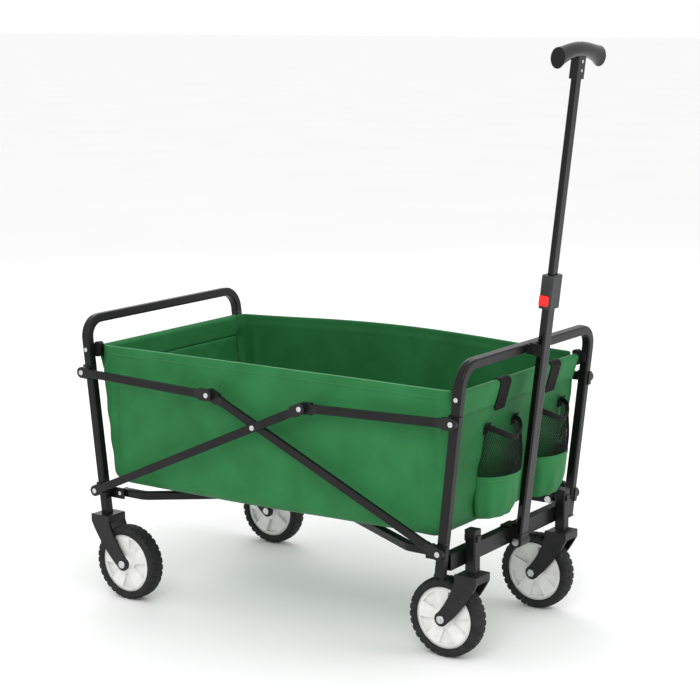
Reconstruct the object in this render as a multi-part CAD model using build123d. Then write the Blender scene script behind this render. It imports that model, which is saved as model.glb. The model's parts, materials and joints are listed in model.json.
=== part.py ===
from build123d import *
import os
from math import atan2, cos, degrees, hypot, radians, sin, tan

os.makedirs("parts", exist_ok=True)

# A folding wagon: two splayed end frames joined by a scissor on each side, a cloth tub hung
# between them, four wheels on forks and a telescopic pull handle at the front end.
# Millimetres. +X runs to the handle end, +Y to the wagon's left, +Z up from the ground.
# The end frames stand the same distance either side of the fold plane. Every length
# below is taken from that plane, and the whole model moves by FOLD_X when it is saved,
# so that the origin is in the middle of the footprint.

# ---- driving dimensions -------------------------------------------------------------
MID_HALF_LENGTH = 411.7     # fold plane to post centre, at MID_Z
MID_Z = 336.5
SPLAY = 6.2                 # degrees each end frame leans outwards at the top
HALF_TRACK = 236.1          # centre plane to post centre
BAR_Z = 555.0               # centre of the top bars
BEND_RADIUS = 38.0
FRONT_FOOT_Z = 176.0        # cut end of the front posts
POST = 18.0                 # square tube of the end frames
POST_WALL = 1.4
POST_CORNER = 3.5

LOW_PIVOT_Z = 218.0         # scissor pivots on the posts
HIGH_PIVOT_Z = 455.0
ELBOW_X = 108.4             # scissor elbows, from the fold plane
ELBOW_Z = 445.7
LINK_HEIGHT = 16.0          # rectangular tube of the scissor links
LINK_THICK = 9.4
LINK_WALL = 1.2
LINK_CORNER = 2.4
LINK_GAP = 1.4              # post face to the inner layer of links
LAYER_GAP = 0.8             # between the two layers of links
FITTING_HEIGHT = 22.0       # moulded end fittings of the links
FITTING_LENGTH = 30.0
FITTING_PLUG = 14.0
RIVET_R = 3.0
RIVET_HEAD_R = 5.2
RIVET_HEAD = 1.6
CAP_SCREW_HEAD = 1.1        # stays under the inner layer of links
PIVOT_PLAY = 0.05           # radial clearance of every turning pin

WHEEL_R = 75.0
TYRE_HALF = 16.3
RIM_R = 58.5
RIM_HALF = 13.5
RIM_DISH = 7.0              # depth of the wedge recesses in each face
RIM_WEDGES = 5
HUB_R = 15.0
HUB_HALF = 18.6
AXLE_R = 5.0
AXLE_HEAD_R = 8.0
AXLE_HEAD = 4.0
REAR_AXLE_AHEAD = 62.8      # rear wheel centre, inwards of the low pivot
CASTER_AHEAD = 19.8         # caster tube, outwards of the low pivot
CASTER_Y = 167.2
CASTER_TRAIL = 51.7
CASTER_TUBE = 21.0
CASTER_TUBE_FOOT = 166.0
CASTER_TUBE_TOP = 234.0
STEM_R = 7.0
FORK_PLATE = 5.2
FORK_GAP = 19.2             # wheel centre to the inside of a fork plate
AXLE_BOSS_R = 13.5
CROWN_BACK = 24.0
CROWN_FRONT = 22.0
CASTER_CROWN_TOP = 164.5
CASTER_CROWN = 15.0
REAR_CROWN_TOP = 168.0
REAR_CROWN = 15.0

BEAM_DEPTH = 18.0
BEAM_HEIGHT = 30.0
BEAM_Z = 197.0
BEAM_WALL = 1.6

ARM = 16.0                  # square tube of the floor arms
ARM_WALL = 1.3
ARM_REST = 0.5              # floor cloth to the arms under it
ARM_PIVOT_IN = 30.0         # floor arm pivots, inwards of the posts
ARM_STRAIGHT = 55.0         # stretch beside the side before the arm turns in
HUB_PIVOT_X = 28.0
REAR_ARM_INNER_Y = 24.0
FRONT_ARM_INNER_Y = 74.0
LUG = 3.2
LUG_HEIGHT = 22.0
PIN_R = 4.0

HANDLE_AHEAD = 23.1733      # handle pivot, outwards of the low pivot
HANDLE_PIVOT_Z = 186.0
HANDLE_LEAN = 6.62          # degrees forwards of upright at rest
LOWER_TUBE = (14.5, 28.0)   # thickness along the wagon, width across it
UPPER_TUBE = (11.2, 22.0)
HANDLE_WALL = 1.3
TELESCOPE_PLAY = 0.25
LOWER_TUBE_START = 16.0     # all handle lengths run up from the pivot
LOWER_TUBE_END = 458.0
COLLAR = (24.0, 43.0)
COLLAR_START = 446.0
COLLAR_END = 507.0
UPPER_TUBE_START = 384.0
SOCKET_START = 857.0
GRIP_HEIGHT = 908.0         # centre line of the grip at its middle
GRIP_HALF_LENGTH = 76.0
GRIP_RISE = 13.0            # how far the ends hang below the middle
GRIP_MID = (26.0, 27.0)
GRIP_END = (28.0, 37.0)
SOCKET = (16.0, 30.0)
BUTTON_WIDTH = 18.0
BUTTON_HEIGHT = 20.0
BUTTON_STAND = 3.0          # how far the button stands out of the collar
BUTTON_TRAVEL = 2.5
BUTTON_CENTRE = 461.0
FIT = 0.3                   # side clearance of pieces that slide or lie close

CLOTH = 2.5                 # stand-in thickness of the cloth
CLOTH_IN = 4.0              # posts to the side cloth
HEM_Z = 497.0               # centre of the rods in the end hems
HEM_ROD_R = 4.0
HEM_R = 7.0
TUB_TOP = 506.0
TUB_FLOOR = 217.5
CAP_WIDTH = 12.0
CAP_HEIGHT = 30.0
STRAP_WIDTH = 38.0
STRAP_DROP = 55.0
STRAP_Y = (-66.0, 122.0)
POCKET_Y = (-62.0, 118.0)
POCKET_HALF_WIDTH = 60.0
POCKET_DEPTH = 46.0
POCKET_FLOOR = 252.0
POCKET_TOP = 405.0
POCKET_WALL = 2.0

# ---- places worked out from them ----------------------------------------------------
SLOPE = tan(radians(SPLAY))
POST_FACE = HALF_TRACK + POST / 2
INNER_LAYER = POST_FACE + LINK_GAP
OUTER_LAYER = INNER_LAYER + LINK_THICK + LAYER_GAP
LINK_OUTSIDE = OUTER_LAYER + LINK_THICK
SIDE_OUTSIDE = HALF_TRACK - POST / 2 - CLOTH_IN
SIDE_INSIDE = SIDE_OUTSIDE - CLOTH
ARM_OUTER_Y = SIDE_INSIDE - FIT - ARM / 2


def post_x(z):
    """Distance from the fold plane to the post centre line at height z."""
    return MID_HALF_LENGTH + SLOPE * (z - MID_Z)


CASTER_X = post_x(LOW_PIVOT_Z) + CASTER_AHEAD
FRONT_AXLE_X = CASTER_X - CASTER_TRAIL
REAR_AXLE_X = -(post_x(LOW_PIVOT_Z) - REAR_AXLE_AHEAD)
BEAM_X = CASTER_X - CASTER_TUBE / 2 - BEAM_DEPTH / 2
ARM_Z = TUB_FLOOR - ARM_REST - ARM / 2
ARM_PIVOT_X = post_x(ARM_Z) - ARM_PIVOT_IN
HANDLE_PIVOT_X = post_x(LOW_PIVOT_Z) + HANDLE_AHEAD
LOW_PIVOT = (post_x(LOW_PIVOT_Z), LOW_PIVOT_Z)
HIGH_PIVOT = (post_x(HIGH_PIVOT_Z), HIGH_PIVOT_Z)
LEAN = radians(HANDLE_LEAN)

REAR_REACH = post_x(BAR_Z) + POST / 2
FRONT_REACH = HANDLE_PIVOT_X + GRIP_HEIGHT * sin(LEAN) + GRIP_END[0] / 2
FOLD_X = (REAR_REACH - FRONT_REACH) / 2


# ---- shared helpers -----------------------------------------------------------------
def save(name, *pieces):
    """Write one node: its pieces stay separate solids."""
    solids = [s for piece in pieces for s in piece.solids()]
    moved = [Pos(FOLD_X, 0, 0) * s for s in solids]
    shape = moved[0] if len(moved) == 1 else Compound(children=moved)
    export_step(shape, "parts/" + name + ".step")


def both_sides(*pieces):
    """The given left pieces and their mirror images on the right."""
    return [*pieces, *[mirror(piece, about=Plane.XZ) for piece in pieces]]


def to_rear(piece):
    return mirror(piece, about=Plane.YZ)


def block(low, high):
    """A box between two corners."""
    size = [b - a for a, b in zip(low, high)]
    centre = [(a + b) / 2 for a, b in zip(low, high)]
    return Pos(*centre) * Box(*size)


def pin(x, z, y_low, y_high, radius):
    """A round pin along Y."""
    place = Plane(origin=(x, y_low, z), x_dir=(1, 0, 0), z_dir=(0, 1, 0))
    return place * Cylinder(radius, y_high - y_low, align=(Align.CENTER, Align.CENTER, Align.MIN))


def side_plate(face_points, y_low, y_high):
    """A plate whose outline in the XZ plane is a list of corners."""
    outline = make_face(Polyline(*[(x, 0, z) for x, z in face_points], close=True))
    return Pos(0, y_low, 0) * extrude(outline, amount=y_high - y_low, dir=(0, 1, 0))


# ---- end frames ---------------------------------------------------------------------
def frame_plane():
    """The leaning plane of the front end frame: local x is Y, local y runs up the posts."""
    lean = radians(SPLAY)
    return Plane(
        origin=(post_x(MID_Z), 0, MID_Z), x_dir=(0, 1, 0), z_dir=(cos(lean), 0, -sin(lean))
    )


def up_post(z):
    return (z - MID_Z) / cos(radians(SPLAY))


def end_frame_tube(foot_z):
    """An inverted U of square tube, bent at its two top corners."""
    plane = frame_plane()
    foot, top = up_post(foot_z), up_post(BAR_Z)
    corners = [(-HALF_TRACK, foot), (-HALF_TRACK, top), (HALF_TRACK, top), (HALF_TRACK, foot)]
    path = plane * FilletPolyline(*corners, radius=BEND_RADIUS)
    section = Plane(origin=path @ 0, x_dir=plane.x_dir, z_dir=path % 0)
    inner = POST - 2 * POST_WALL
    outside = sweep(section * RectangleRounded(POST, POST, POST_CORNER), path=path)
    inside = sweep(
        section * RectangleRounded(inner, inner, POST_CORNER - POST_WALL), path=path
    )
    return outside - inside


def floor_lug():
    """The welded lug on the inside of a front post that a floor arm turns on."""
    x_out = post_x(ARM_Z) + POST / 2 - 2
    y_high = HALF_TRACK - POST / 2
    low = (ARM_PIVOT_X - LUG_HEIGHT / 2, y_high - LUG, ARM_Z - LUG_HEIGHT / 2)
    plate = block(low, (x_out, y_high, ARM_Z + LUG_HEIGHT / 2))
    return plate - pin(ARM_PIVOT_X, ARM_Z, y_high - LUG - 1, y_high + 1, PIN_R)


def post_saddle(pivot, layer):
    """The moulded saddle that wraps a front post and spaces a link off it."""
    x, z = pivot
    wall, width, height = 2.0, POST + 5.0, 26.0
    tilt = Location((x, 0, z), (0, SPLAY, 0))
    shell = Pos(0, HALF_TRACK + POST / 4, 0) * Box(width, POST / 2 + 0.001, height)
    shell += block(
        (-width / 2, POST_FACE, -height / 2), (width / 2, POST_FACE + wall / 2, height / 2)
    )
    shell -= Pos(0, HALF_TRACK, 0) * Box(POST, POST, height + 1)
    boss = pin(0, 0, POST_FACE, layer - 0.3, 8.5)
    bore = pin(0, 0, POST_FACE - POST, layer + 1, RIVET_R)
    return tilt * (shell + boss - bore)


def link_rivet(pivot, y_start, y_end):
    """A rivet along Y with a low domed head outside."""
    x, z = pivot
    shank = pin(x, z, y_start, y_end, RIVET_R)
    head = pin(x, z, y_end, y_end + RIVET_HEAD, RIVET_HEAD_R)
    head = fillet(head.edges().sort_by(Axis.Y)[-1], RIVET_HEAD * 0.7)
    return shank + head


def hem_x(z):
    """The plane of an end cloth panel, just inside the posts."""
    return post_x(z) - POST / 2 - CLOTH_IN


HEM_X = hem_x(HEM_Z)
PANEL_HALF_WIDTH = HALF_TRACK - POST / 2 - CAP_WIDTH - FIT - 1.0


def hem_cap():
    """The moulded cap that holds one end of a hem rod against the front post."""
    y_high = HALF_TRACK - POST / 2
    body = Pos(HEM_X, y_high - CAP_WIDTH / 2, HEM_Z) * Box(
        2 * HEM_R, CAP_WIDTH, CAP_HEIGHT
    )
    body = fillet(body.edges().filter_by(Axis.Y), 5.0)
    seat_x = post_x(HEM_Z) + POST / 4
    tongue = block(
        (HEM_X, y_high - 4.0, HEM_Z - 9.0), (seat_x, y_high - 0.01, HEM_Z + 9.0)
    )
    hole = pin(HEM_X, HEM_Z, y_high - CAP_WIDTH - 1, y_high - 3.0, HEM_ROD_R)
    return body + tongue - hole


def hem_rod():
    y_end = HALF_TRACK - POST / 2 - 3.0
    return pin(HEM_X, HEM_Z, -y_end, y_end, HEM_ROD_R)


def end_panel():
    """The end cloth with the hem that the rod runs through."""
    z_low, z_high = TUB_FLOOR + CLOTH + FIT, HEM_Z
    outline = [
        (hem_x(z_low) - CLOTH, z_low),
        (hem_x(z_low), z_low),
        (hem_x(z_high), z_high),
        (hem_x(z_high) - CLOTH, z_high),
    ]
    sheet = side_plate(outline, -PANEL_HALF_WIDTH, PANEL_HALF_WIDTH)
    hem = pin(HEM_X, HEM_Z, -PANEL_HALF_WIDTH, PANEL_HALF_WIDTH, HEM_R)
    bore = pin(HEM_X, HEM_Z, -HALF_TRACK, HALF_TRACK, HEM_ROD_R + FIT)
    return sheet + hem - bore


# ---- scissor links ------------------------------------------------------------------
def link_tube(start, end, layer):
    """A rectangular tube along the line between two pivots, without its end fittings."""
    (x0, z0), (x1, z1) = start, end
    length = hypot(x1 - x0, z1 - z0)
    along = ((x1 - x0) / length, 0, (z1 - z0) / length)
    x_start, z_start = x0 + along[0] * FITTING_LENGTH, z0 + along[2] * FITTING_LENGTH
    start_point = (x_start, layer + LINK_THICK / 2, z_start)
    section = Plane(origin=start_point, x_dir=(0, 1, 0), z_dir=along)
    outer = RectangleRounded(LINK_THICK, LINK_HEIGHT, LINK_CORNER)
    inner_size = (LINK_THICK - 2 * LINK_WALL, LINK_HEIGHT - 2 * LINK_WALL)
    inner = RectangleRounded(*inner_size, LINK_CORNER / 2)
    return extrude(section * (outer - inner), amount=length - 2 * FITTING_LENGTH)


def link_fitting(pivot, towards, layer, pin_radius):
    """The moulded end of a link: round about its pivot, with a plug inside the tube."""
    (x0, z0), (x1, z1) = pivot, towards
    angle = degrees(atan2(z1 - z0, x1 - x0))
    thick, half = LINK_THICK - 0.2, FITTING_HEIGHT / 2
    body = pin(0, 0, 0, thick, half)
    body += block((0, 0, -half), (FITTING_LENGTH - half, thick, half))
    body += block((0, 0, -LINK_HEIGHT / 2), (FITTING_LENGTH, thick, LINK_HEIGHT / 2))
    plug_start = Plane(origin=(FITTING_LENGTH, thick / 2, 0), x_dir=(0, 1, 0), z_dir=(1, 0, 0))
    plug_size = (LINK_THICK - 2 * LINK_WALL - 0.2, LINK_HEIGHT - 2 * LINK_WALL - 0.2)
    body += extrude(plug_start * RectangleRounded(*plug_size, LINK_CORNER / 2), amount=FITTING_PLUG)
    body -= pin(0, 0, -1, thick + 1, pin_radius)
    return Location((x0, layer + 0.1, z0), (0, -angle, 0)) * body


# ---- wheels and forks ---------------------------------------------------------------
def rim(x, y):
    """A moulded rim with wedge recesses between its spokes."""
    profile = make_face(
        Polyline(
            (AXLE_R + PIVOT_PLAY, -HUB_HALF),
            (HUB_R - 2, -HUB_HALF),
            (HUB_R, -RIM_HALF + 2),
            (RIM_R - 6, -RIM_HALF),
            (RIM_R, -RIM_HALF + 2),
            (RIM_R, RIM_HALF - 2),
            (RIM_R - 6, RIM_HALF),
            (HUB_R, RIM_HALF - 2),
            (HUB_R - 2, HUB_HALF),
            (AXLE_R + PIVOT_PLAY, HUB_HALF),
            close=True,
        )
    )
    body = revolve(Plane.XY * profile, axis=Axis.Y)
    near, far = HUB_R + 6, RIM_R - 7
    corners = [(near, -4), (far - 3, -17), (far, 0), (far - 3, 17), (near, 4)]
    floor_y = RIM_HALF - RIM_DISH
    wedge = side_plate(corners, floor_y, RIM_HALF + 5)
    wedge += side_plate(corners, -RIM_HALF - 5, -floor_y)
    for number in range(RIM_WEDGES):
        body -= Rot(0, 11 + number * 360 / RIM_WEDGES, 0) * wedge
    return Pos(x, y, WHEEL_R) * body


def tyre(x, y):
    """A hard tyre with rounded shoulders, seated on the rim."""
    shoulder = 7.0
    ring = Cylinder(WHEEL_R, 2 * TYRE_HALF) - Cylinder(RIM_R, 2 * TYRE_HALF + 1)
    outer_edges = [e for e in ring.edges().filter_by(GeomType.CIRCLE) if e.radius > WHEEL_R - 1]
    ring = fillet(outer_edges, shoulder)
    return Pos(x, y, WHEEL_R) * Rot(90, 0, 0) * ring


def fork_plate_outline(offset, crown_top, crown_bottom):
    """The curved side plate of a fork. The axle lies at offset along x from the crown."""
    side = 1 if offset > 0 else -1
    back, front = side * CROWN_BACK, -side * CROWN_FRONT
    low = (offset - side * AXLE_BOSS_R * 0.5, WHEEL_R - AXLE_BOSS_R * 0.866)
    high = (offset + side * AXLE_BOSS_R * 0.5, WHEEL_R + AXLE_BOSS_R * 0.866)
    tip = (offset + side * AXLE_BOSS_R * 0.866, WHEEL_R - AXLE_BOSS_R * 0.5)
    bend_out = (front * 0.35 + offset * 0.28, (crown_bottom + WHEEL_R) / 2 - 8)
    bend_in = (back * 0.3 + offset * 0.6, (crown_bottom + WHEEL_R) / 2 + 4)

    def at(point):
        return (point[0], 0, point[1])

    edges = [
        Line(at((back, crown_top)), at((front, crown_top))),
        Line(at((front, crown_top)), at((front, crown_bottom))),
        ThreePointArc(at((front, crown_bottom)), at(bend_out), at(low)),
        ThreePointArc(at(low), at(tip), at(high)),
        ThreePointArc(at(high), at(bend_in), at((back, crown_bottom))),
        Line(at((back, crown_bottom)), at((back, crown_top))),
    ]
    return make_face(edges)


def fork(x, y, offset, crown_top, crown_depth, socket):
    """A moulded fork: a crown over two side plates, with a socket for its post or stem."""
    bottom = crown_top - crown_depth
    outline = fork_plate_outline(offset, crown_top, bottom)
    plate = extrude(outline, amount=FORK_PLATE, dir=(0, 1, 0))
    plate -= pin(offset, WHEEL_R, -1, FORK_PLATE + 1, AXLE_R)
    body = Pos(0, FORK_GAP, 0) * plate
    body += Pos(0, -FORK_GAP - FORK_PLATE, 0) * plate
    side = 1 if offset > 0 else -1
    ends = sorted((side * CROWN_BACK, -side * CROWN_FRONT))
    inside = FORK_GAP + 0.5
    crown = block((ends[0], -inside, bottom), (ends[1], inside, crown_top))
    body += fillet(crown.edges().filter_by(Axis.Y).group_by(Axis.Z)[-1], 3.0)
    return Pos(x, y, 0) * (body - socket)


def axle_bolt(x, y):
    """A domed bolt through both fork plates, with its nut on the inner side."""
    reach = FORK_GAP + FORK_PLATE
    shank = pin(x, WHEEL_R, y - reach, y + reach, AXLE_R)
    head = pin(x, WHEEL_R, y + reach, y + reach + AXLE_HEAD, AXLE_HEAD_R)
    head = fillet(head.edges().sort_by(Axis.Y)[-1], AXLE_HEAD * 0.6)
    nut_plane = Plane(origin=(x, y - reach, WHEEL_R), x_dir=(1, 0, 0), z_dir=(0, -1, 0))
    nut = extrude(nut_plane * RegularPolygon(AXLE_HEAD_R, 6), amount=AXLE_HEAD)
    return shank + head + nut


def caster_stem():
    stem_foot = CASTER_CROWN_TOP - CASTER_CROWN
    return Pos(CASTER_X, CASTER_Y, stem_foot) * Cylinder(
        STEM_R,
        CASTER_TUBE_TOP - 4 - stem_foot,
        align=(Align.CENTER, Align.CENTER, Align.MIN),
    )


def caster_tube():
    height = CASTER_TUBE_TOP - CASTER_TUBE_FOOT
    tube = Box(CASTER_TUBE, CASTER_TUBE, height)
    tube = fillet(tube.edges().filter_by(Axis.Z), 3.0)
    tube -= Cylinder(STEM_R + PIVOT_PLAY, height + 1)
    return Pos(CASTER_X, CASTER_Y, (CASTER_TUBE_TOP + CASTER_TUBE_FOOT) / 2) * tube


def caster_cap():
    """The moulded cap on a caster tube, with a clip tab down each side."""
    top = Pos(0, 0, 6.5) * Box(CASTER_TUBE + 2, CASTER_TUBE + 2, 13)
    top = fillet(top.edges().filter_by(Axis.Z), 3.0)
    for side in (-1, 1):
        near, far = side * CASTER_TUBE / 2, side * (CASTER_TUBE / 2 + 3.5)
        top += block((min(near, far), -6, -9), (max(near, far), 6, 2))
    return Pos(CASTER_X, CASTER_Y, CASTER_TUBE_TOP) * top


def post_plug():
    """The moulded plug in the open foot of a front post."""
    inner = POST - 2 * POST_WALL
    plane = frame_plane()
    foot = plane * Pos(HALF_TRACK, up_post(FRONT_FOOT_Z), 0)
    flange = Pos(0, -1.5, 0) * Box(POST, 3, POST)
    plug = Pos(0, 6, 0) * Box(inner, 12, inner)
    plug = fillet(plug.edges().filter_by(Axis.Y), POST_CORNER - POST_WALL)
    return foot * (flange + plug)


# ---- floor --------------------------------------------------------------------------
def floor_arm(inner_y):
    """A bent square tube from its pivot on the front frame to the hub."""
    points = [
        (ARM_PIVOT_X, ARM_OUTER_Y, ARM_Z),
        (ARM_PIVOT_X - ARM_STRAIGHT, ARM_OUTER_Y, ARM_Z),
        (HUB_PIVOT_X + 34, inner_y, ARM_Z),
        (HUB_PIVOT_X, inner_y, ARM_Z),
    ]
    path = FilletPolyline(*points, radius=30.0)
    section = Plane(origin=path @ 0, x_dir=(0, 1, 0), z_dir=path % 0)
    inner = ARM - 2 * ARM_WALL
    tube = sweep(section * RectangleRounded(ARM, ARM, 3.0), path=path)
    tube -= sweep(section * RectangleRounded(inner, inner, 1.6), path=path)
    for x, y in ((ARM_PIVOT_X, ARM_OUTER_Y), (HUB_PIVOT_X, inner_y)):
        eye = pin(x, ARM_Z, y - ARM / 2, y + ARM / 2, ARM / 2)
        tube += eye
        tube -= pin(x, ARM_Z, y - ARM, y + ARM, PIN_R + PIVOT_PLAY)
    return tube


def arm_pin():
    """The pin that joins a floor arm to its lug."""
    y_high = HALF_TRACK - POST / 2 - 0.2
    y_low = ARM_OUTER_Y - ARM / 2 - 0.6
    shank = pin(ARM_PIVOT_X, ARM_Z, y_low, y_high, PIN_R)
    return shank + pin(ARM_PIVOT_X, ARM_Z, y_low - 2, y_low, PIN_R + 3)


def floor_hub():
    """The moulded hub: a spine between two pairs of cheeks."""
    cheek, height = 5.0, 14.0
    rear_in = REAR_ARM_INNER_Y - ARM / 2 - 0.4
    front_in = FRONT_ARM_INNER_Y - ARM / 2 - 0.4
    reach = HUB_PIVOT_X - ARM / 2 - 4.0
    z_low, z_high = ARM_Z - height / 2, ARM_Z + height / 2
    hub = block((-reach, -front_in, z_low), (reach, front_in, z_high))
    for side in (-1, 1):
        for x_pivot, inside in ((-HUB_PIVOT_X, rear_in), (HUB_PIVOT_X, front_in)):
            y_low = side * inside - (cheek if side > 0 else 0)
            x_low, x_high = sorted((0, x_pivot))
            hub += block((x_low, y_low, z_low), (x_high, y_low + cheek, z_high))
            hub += pin(x_pivot, ARM_Z, y_low, y_low + cheek, height / 2)
    hub -= pin(-HUB_PIVOT_X, ARM_Z, -FRONT_ARM_INNER_Y, FRONT_ARM_INNER_Y, PIN_R)
    hub -= pin(HUB_PIVOT_X, ARM_Z, -HALF_TRACK, HALF_TRACK, PIN_R + 1.0)
    return hub


def floor_half():
    """Half of the tub's floor cloth, lying on the front pair of arms."""
    x_high = hem_x(TUB_FLOOR) - CLOTH - 14.0
    half_width = SIDE_INSIDE - FIT
    return block((1.0, -half_width, TUB_FLOOR), (x_high, half_width, TUB_FLOOR + CLOTH))


def side_panel():
    """One long side of the tub."""
    z_low = TUB_FLOOR + FIT
    x_low, x_high = hem_x(z_low), hem_x(TUB_TOP) - 2 * HEM_R - FIT
    z_bend = HEM_Z - CAP_HEIGHT / 2 - 2 * HEM_R
    x_bend = hem_x(z_bend)
    outline = [
        (-x_low, z_low),
        (x_low, z_low),
        (x_bend, z_bend),
        (x_high, TUB_TOP),
        (-x_high, TUB_TOP),
        (-x_bend, z_bend),
    ]
    return side_plate(outline, SIDE_INSIDE, SIDE_OUTSIDE)


def pocket(y):
    """One cup pocket on the front cloth, open at the top."""
    x_back = hem_x(POCKET_FLOOR) + 0.6
    lean = degrees(atan2(SLOPE, 1))
    height = POCKET_TOP - POCKET_FLOOR
    width, depth = POCKET_HALF_WIDTH, POCKET_DEPTH
    body = extrude(Ellipse(depth, width), amount=height)
    inner = Ellipse(depth - POCKET_WALL, width - POCKET_WALL)
    hollow = Pos(0, 0, POCKET_WALL) * extrude(inner, amount=height)
    half = block((0, -width, 0), (depth, width, height))
    back = half & block((0, -width + POCKET_WALL, 0), (POCKET_WALL, width - POCKET_WALL, height))
    cup = (body & half) - hollow + back
    return Location((x_back, y, POCKET_FLOOR), (0, lean, 0)) * cup


def hem_strap(y):
    """A webbing loop folded over the front hem."""
    low, thick = HEM_Z - STRAP_DROP, 1.6
    half = STRAP_WIDTH / 2
    ring = pin(HEM_X, HEM_Z, -half, half, HEM_R + 0.3 + thick)
    ring -= pin(HEM_X, HEM_Z, -half - 1, half + 1, HEM_R + 0.3)
    ring -= block((HEM_X - 40, -half - 1, HEM_Z - 40), (HEM_X + 40, half + 1, HEM_Z))
    x_top = HEM_X + HEM_R + 0.3
    x_low = hem_x(low) + 0.6
    tail = side_plate(
        [(x_top, HEM_Z), (x_top + thick, HEM_Z), (x_low + thick, low), (x_low, low)], -half, half
    )
    return Pos(0, y, 0) * (ring + tail)


# ---- handle -------------------------------------------------------------------------
def along_handle(shape):
    """Carry a piece drawn upright from the handle pivot to the leaning handle."""
    return Location((HANDLE_PIVOT_X, 0, HANDLE_PIVOT_Z), (0, HANDLE_LEAN, 0)) * shape


def upright(size, low, high, corner):
    """A rounded bar along the handle's length."""
    return extrude(Pos(0, 0, low) * RectangleRounded(*size, corner), amount=high - low)


def inset(size, wall):
    return (size[0] - 2 * wall, size[1] - 2 * wall)


def lower_tube():
    tube = upright(LOWER_TUBE, LOWER_TUBE_START, LOWER_TUBE_END, 4.0)
    return tube - upright(
        inset(LOWER_TUBE, HANDLE_WALL), LOWER_TUBE_START - 1, LOWER_TUBE_END + 1, 2.8
    )


def upper_tube():
    tube = upright(UPPER_TUBE, UPPER_TUBE_START, SOCKET_START + 12, 3.4)
    return tube - upright(
        inset(UPPER_TUBE, HANDLE_WALL), UPPER_TUBE_START - 1, SOCKET_START + 13, 2.2
    )


def handle_base():
    """The moulded foot of the handle: an eye about the pivot and a plug up the tube."""
    size = inset(LOWER_TUBE, HANDLE_WALL)
    eye = pin(0, 0, -LOWER_TUBE[1] / 2, LOWER_TUBE[1] / 2, 11.0)
    neck = upright((16.0, LOWER_TUBE[1]), 0, LOWER_TUBE_START, 2.0)
    plug = upright(size, LOWER_TUBE_START - 1, LOWER_TUBE_START + 16, 2.8)
    return eye + neck + plug - pin(0, 0, -30, 30, PIN_R + PIVOT_PLAY)


BUTTON_SLOT_LOW = BUTTON_CENTRE - BUTTON_HEIGHT / 2
BUTTON_SLOT_HIGH = BUTTON_CENTRE + BUTTON_HEIGHT / 2
BUTTON_FACE = COLLAR[1] / 2
BUTTON_BACK = BUTTON_FACE - 3.4


def collar():
    """The moulded collar, bored for both tubes, with the button's slot in its right face."""
    body = upright(COLLAR, COLLAR_START, COLLAR_END, 7.0)
    body = fillet(body.edges().group_by(Axis.Z)[-1], 1.5)
    body -= upright(LOWER_TUBE, COLLAR_START - 1, LOWER_TUBE_END, 4.0)
    passage = inset(UPPER_TUBE, -TELESCOPE_PLAY)
    body -= upright(passage, LOWER_TUBE_END - 1, COLLAR_END + 1, 3.4)
    half = BUTTON_WIDTH / 2 + FIT
    y_back = -(BUTTON_BACK - BUTTON_TRAVEL - 0.4)
    body -= block(
        (-half, -BUTTON_FACE - 1, BUTTON_SLOT_LOW - FIT), (half, y_back, BUTTON_SLOT_HIGH + FIT)
    )
    return body


def button():
    half = BUTTON_WIDTH / 2
    y_out = -(BUTTON_FACE + BUTTON_STAND)
    body = block((-half, y_out, BUTTON_SLOT_LOW), (half, -BUTTON_BACK, BUTTON_SLOT_HIGH))
    edges = body.edges().filter_by(Axis.Y)
    return fillet(fillet(edges, 3.0).edges().group_by(Axis.Y)[0], 1.0)


def grip():
    """A low arch whose oval section swells towards its flat ends, on a tall socket."""
    sections = []
    steps = 8
    for number in range(steps + 1):
        share = 2 * number / steps - 1
        swell = share**4
        width = GRIP_MID[0] + (GRIP_END[0] - GRIP_MID[0]) * swell
        height = GRIP_MID[1] + (GRIP_END[1] - GRIP_MID[1]) * swell
        drop = GRIP_RISE * share * share
        place = Plane(
            origin=(0, share * GRIP_HALF_LENGTH, GRIP_HEIGHT - drop),
            x_dir=(1, 0, 0),
            z_dir=(0, 1, 0),
        )
        sections.append(place * Ellipse(width / 2, height / 2))
    bar = loft(sections)
    socket = upright(SOCKET, SOCKET_START, GRIP_HEIGHT, 3.0)
    socket -= upright(UPPER_TUBE, SOCKET_START - 1, SOCKET_START + 12, 3.4)
    return bar + socket - upright(UPPER_TUBE, SOCKET_START - 1, SOCKET_START + 12, 3.4)


def grip_rivets():
    heads = []
    for height in (SOCKET_START + 15, SOCKET_START + 31):
        plane = Plane(origin=(SOCKET[0] / 2, 0, height), x_dir=(0, 1, 0), z_dir=(1, 0, 0))
        heads.append(plane * Cylinder(3.0, 1.2, align=(Align.CENTER, Align.CENTER, Align.MIN)))
    return heads


def yoke():
    """The steel yoke wrapped over the beam, with two cheeks that hold the handle's pivot."""
    wall = 2.5
    inside = LOWER_TUBE[1] / 2 + 0.4
    top = BEAM_Z + BEAM_HEIGHT / 2
    x_back, front = BEAM_X - BEAM_DEPTH / 2, BEAM_X + BEAM_DEPTH / 2
    reach, eye = inside + wall, 11.0
    body = block((x_back - wall, -reach, top), (front, reach, top + wall))
    body += block((x_back - wall, -reach, BEAM_Z - 8), (x_back, reach, top + wall))
    for side in (-1, 1):
        y_low = side * inside - (wall if side < 0 else 0)
        low = (front, y_low, HANDLE_PIVOT_Z - eye)
        cheek = block(low, (HANDLE_PIVOT_X, y_low + wall, top + wall))
        cheek += pin(HANDLE_PIVOT_X, HANDLE_PIVOT_Z, y_low, y_low + wall, eye)
        body += cheek - pin(HANDLE_PIVOT_X, HANDLE_PIVOT_Z, y_low - 1, y_low + wall + 1, PIN_R)
    return body


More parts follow.
